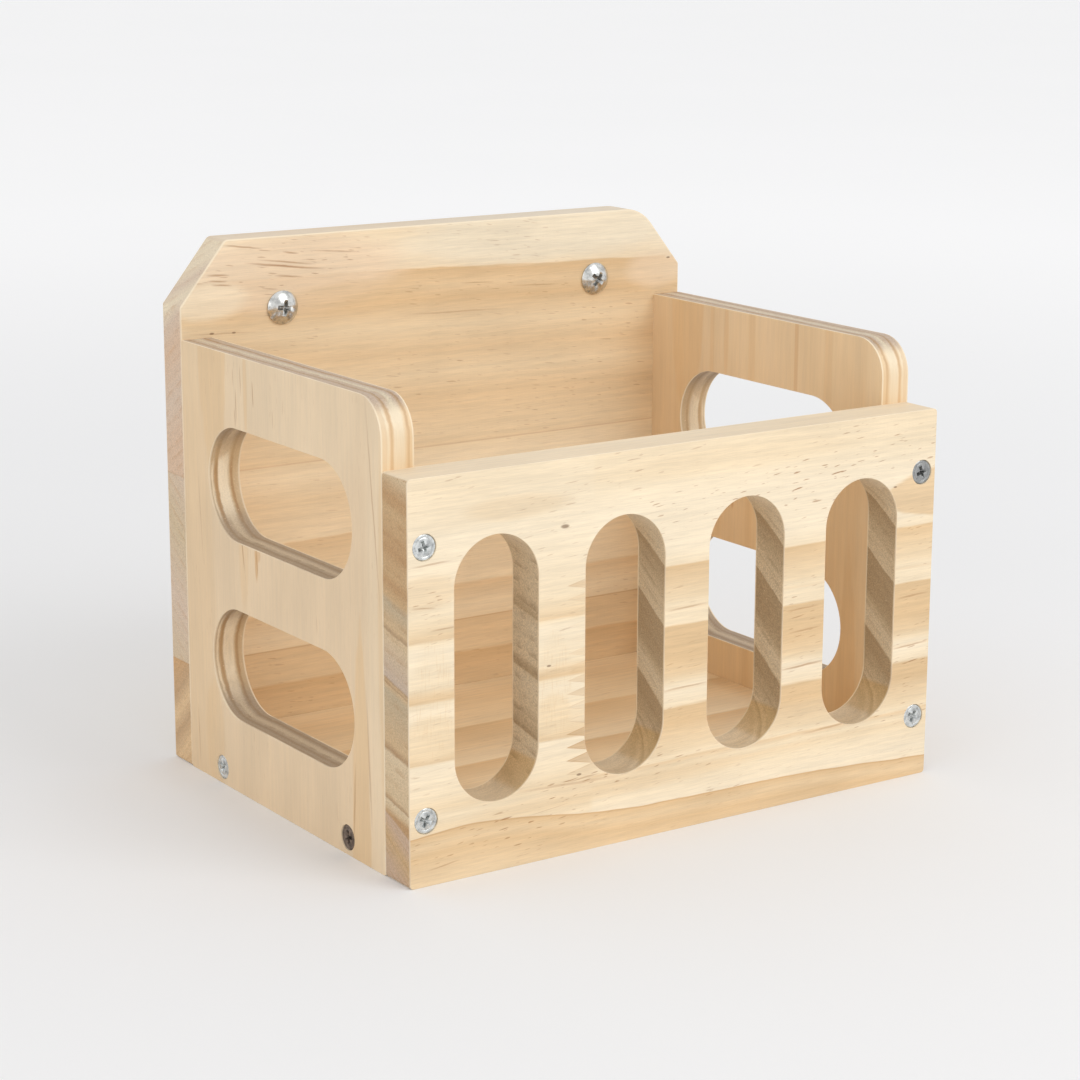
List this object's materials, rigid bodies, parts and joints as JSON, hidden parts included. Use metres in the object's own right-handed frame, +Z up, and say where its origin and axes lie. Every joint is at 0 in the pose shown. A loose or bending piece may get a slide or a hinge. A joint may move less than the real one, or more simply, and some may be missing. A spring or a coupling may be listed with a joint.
{
  "type": "hay feeder box",
  "caption": "Open-topped pine hay feeder box with round-ended feeding slots in front and sides, and a tall back board with bolts, washers and wing nuts that clamp it to cage wires.",
  "frame": {"origin": "on the rear face of the back board, midway between the two mounting bolts", "axes": "+X to the right as seen from the front, +Y to the rear, out of the rear face, +Z up"},
  "size_m": [0.25, 0.215, 0.219],
  "materials": {
    "pine_back": "bare planed pine, level grain",
    "pine_front": "bare planed pine, level grain with darker lower stripes",
    "pine_left_side": "bare planed pine, upright grain",
    "pine_right_side": "bare planed pine, upright grain",
    "pine_floor": "bare planed pine",
    "zinc_screw": "bright zinc plate",
    "bronze_screw": "dark bronze plate",
    "polished_bolt": "bright nickel plate",
    "zinc_washer": "zinc plate",
    "cast_wing_nut": "zinc-plated casting"
  },
  "bodies": {
    "box": {"back_board": "pine_back", "front_panel": "pine_front", "left_side_panel": "pine_left_side", "right_side_panel": "pine_right_side", "floor_board": "pine_floor", "front_screw_left_upper": "zinc_screw", "front_screw_left_lower": "zinc_screw", "front_screw_right_upper": "zinc_screw", "front_screw_right_lower": "zinc_screw", "rear_screw_left_upper": "zinc_screw", "rear_screw_left_lower": "zinc_screw", "rear_screw_right_upper": "zinc_screw", "rear_screw_right_lower": "zinc_screw", "floor_screw_left_front": "bronze_screw", "floor_screw_left_rear": "zinc_screw", "floor_screw_right_front": "zinc_screw", "floor_screw_right_rear": "zinc_screw", "left_mounting_bolt": "polished_bolt", "right_mounting_bolt": "polished_bolt"},
    "left_washer": {"left_fender_washer": "zinc_washer"},
    "right_washer": {"right_fender_washer": "zinc_washer"},
    "left_nut": {"left_wing_nut": "cast_wing_nut"},
    "right_nut": {"right_wing_nut": "cast_wing_nut"}
  },
  "joints": [
    {"name": "left_clamp_travel", "type": "slide", "parent": "box", "child": "left_washer", "axis": [0, 1, 0], "range_m": [-0.004, 0.009]},
    {"name": "left_nut_spin", "type": "hinge", "parent": "left_washer", "child": "left_nut", "pos_m": [-0.0785, 0.0055, 0], "axis": [0, 1, 0], "range_deg": [-1440, 3240]},
    {"name": "right_clamp_travel", "type": "slide", "parent": "box", "child": "right_washer", "axis": [0, 1, 0], "range_m": [-0.004, 0.009]},
    {"name": "right_nut_spin", "type": "hinge", "parent": "right_washer", "child": "right_nut", "pos_m": [0.0785, 0.0055, 0], "axis": [0, 1, 0], "range_deg": [-1440, 3240]}
  ],
  "couplings": [
    {"joint": "left_nut_spin", "follows": "left_clamp_travel", "rad_per_m": 6283.2},
    {"joint": "right_nut_spin", "follows": "right_clamp_travel", "rad_per_m": 6283.2}
  ]
}
